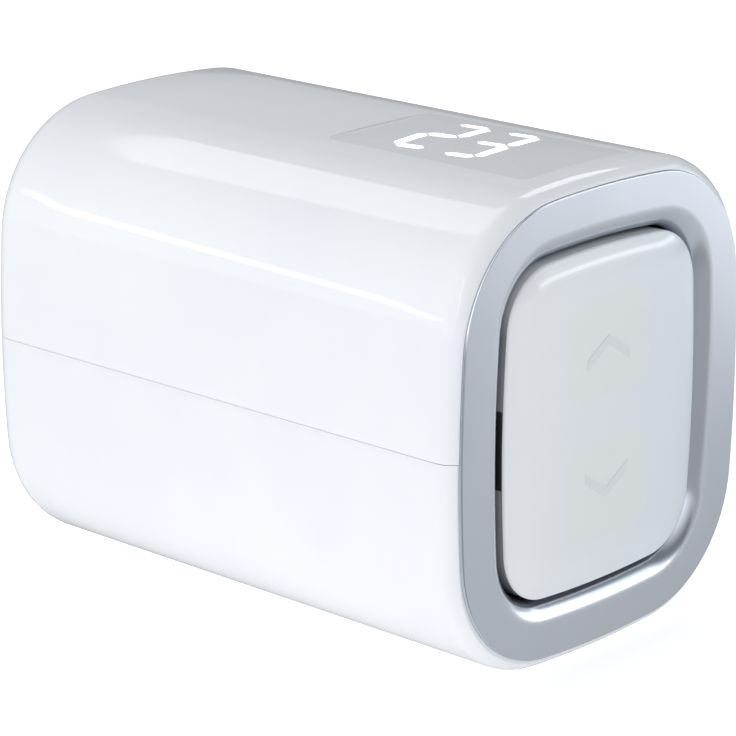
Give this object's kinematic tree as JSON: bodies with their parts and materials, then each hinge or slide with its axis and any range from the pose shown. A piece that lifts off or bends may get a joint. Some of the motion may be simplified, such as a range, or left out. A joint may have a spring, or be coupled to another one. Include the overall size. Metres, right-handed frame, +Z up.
{
  "type": "smart radiator thermostat",
  "caption": "Smart radiator thermostat: glossy rounded-square housing with a front rocker key in a satin ring, lit digits on top, and a ring nut for the valve.",
  "frame": {"origin": "on the valve axis, where the union nut's thread begins, half a millimetre inside its mouth", "axes": "+Y out of the nut towards the valve, -Y out of the front key, +Z up to the display, +X to the right seen from the front"},
  "size_m": [0.055, 0.0847, 0.0601],
  "materials": {
    "shell_white": "high-gloss white moulding",
    "bezel_silver": "satin silver with a smooth rolled inner lip",
    "key_white": "glossy white with soft raised fields",
    "mark_pearl": "pearl white printed chevrons",
    "window_white": "translucent white inlay",
    "segment_lit": "lit white light guides",
    "segment_dark": "unlit light guides, as the window",
    "frame_grey": "fine-textured grey moulding",
    "chassis_white": "natural white glass-filled moulding",
    "light_box_white": "matt white light box",
    "board_green": "solder-masked board",
    "component_black": "moulded black components",
    "lamp_yellow": "small surface-mounted lamps",
    "shield_tin": "tinned sheet",
    "cable_amber": "amber film cable",
    "screw_steel": "zinc-plated steel",
    "cell_sleeve": "cell with a plain dark sleeve",
    "contact_nickel": "nickel-plated spring sheet",
    "motor_steel": "drawn steel can",
    "gear_acetal": "natural acetal",
    "nut_brass": "turned brass",
    "collar_nickel": "nickel-plated brass",
    "lead_red": "insulated leads"
  },
  "bodies": {
    "housing": {"upper_shell": "shell_white", "front_bezel": "bezel_silver", "front_frame": "frame_grey", "switch_board": "board_green", "switch_bodies": "component_black", "temperature_sensor": "component_black", "flex_cable": "cable_amber", "display_window": "window_white", "lit_segments": "segment_lit", "dark_segments": "segment_dark", "display_box": "light_box_white", "display_leds": "lamp_yellow", "main_board": "board_green", "board_screws": "screw_steel", "board_components": "component_black", "radio_shield": "shield_tin", "chassis": "chassis_white", "shell_screws": "screw_steel", "battery_left": "cell_sleeve", "battery_right": "cell_sleeve", "contact_plus": "contact_nickel", "contact_minus": "contact_nickel", "contact_bridge": "contact_nickel", "motor": "motor_steel", "motor_leads": "lead_red", "gear_axles": "screw_steel", "thrust_washer": "screw_steel", "spindle_guide": "gear_acetal", "gearbox_base": "chassis_white", "gearbox_cover": "chassis_white", "gearbox_screws": "screw_steel", "mount_collar": "collar_nickel", "collar_screws": "screw_steel", "retaining_ring": "screw_steel"},
    "battery_cover": {"lower_shell": "shell_white"},
    "rocker": {"rocker_key": "key_white", "key_marks": "mark_pearl", "rocker_carrier": "frame_grey"},
    "upper_switch": {"upper_plunger": "gear_acetal"},
    "lower_switch": {"lower_plunger": "gear_acetal"},
    "output_nut": {"drive_nut": "nut_brass"},
    "second_gear": {"reduction_gear_2": "gear_acetal"},
    "first_gear": {"reduction_gear_1": "gear_acetal"},
    "motor_rotor": {"motor_shaft": "screw_steel", "motor_pinion": "nut_brass"},
    "push_spindle": {"spindle": "screw_steel"},
    "valve_nut": {"union_nut": "collar_nickel"}
  },
  "joints": [
    {"name": "rocker_tilt", "type": "hinge", "parent": "housing", "child": "rocker", "pos_m": [0, -0.0777, 0], "axis": [1, 0, 0], "range_deg": [-1.5, 1.5], "stiffness_Nm_per_rad": 0.8},
    {"name": "upper_switch_press", "type": "slide", "parent": "housing", "child": "upper_switch", "axis": [0, 1, 0], "range_m": [-0.00036, 0.00036]},
    {"name": "lower_switch_press", "type": "slide", "parent": "housing", "child": "lower_switch", "axis": [0, 1, 0], "range_m": [-0.00036, 0.00036]},
    {"name": "nut_turn", "type": "hinge", "parent": "housing", "child": "output_nut", "pos_m": [0, -0.0337, 0], "axis": [0, -1, 0], "range_deg": [0, 1080]},
    {"name": "gear_2_turn", "type": "hinge", "parent": "housing", "child": "second_gear", "pos_m": [-0.01169, -0.0337, 0.00675], "axis": [0, -1, 0], "range_deg": [-3780, 0]},
    {"name": "gear_1_turn", "type": "hinge", "parent": "housing", "child": "first_gear", "pos_m": [-0.00263, -0.0337, 0.01462], "axis": [0, -1, 0], "range_deg": [0, 11340]},
    {"name": "motor_turn", "type": "hinge", "parent": "housing", "child": "motor_rotor", "pos_m": [0.01017, -0.0337, 0.01237], "axis": [0, -1, 0], "range_deg": [-37800, 0]},
    {"name": "spindle_travel", "type": "slide", "parent": "housing", "child": "push_spindle", "axis": [0, 1, 0], "range_m": [0, 0.0045]},
    {"name": "valve_nut_turn", "type": "hinge", "parent": "housing", "child": "valve_nut", "pos_m": [0, 0, 0], "axis": [0, 1, 0], "continuous": true},
    {"name": "cover_release", "type": "slide", "parent": "housing", "child": "battery_cover", "axis": [0, 0, -1], "range_m": [0, 0.034]}
  ],
  "couplings": [
    {"joint": "upper_switch_press", "follows": "rocker_tilt", "m_per_rad": -0.013},
    {"joint": "lower_switch_press", "follows": "rocker_tilt", "m_per_rad": 0.013},
    {"joint": "gear_2_turn", "follows": "nut_turn", "ratio": -3.5},
    {"joint": "gear_1_turn", "follows": "nut_turn", "ratio": 10.5},
    {"joint": "motor_turn", "follows": "nut_turn", "ratio": -35},
    {"joint": "spindle_travel", "follows": "nut_turn", "m_per_rad": 0.00023873}
  ]
}
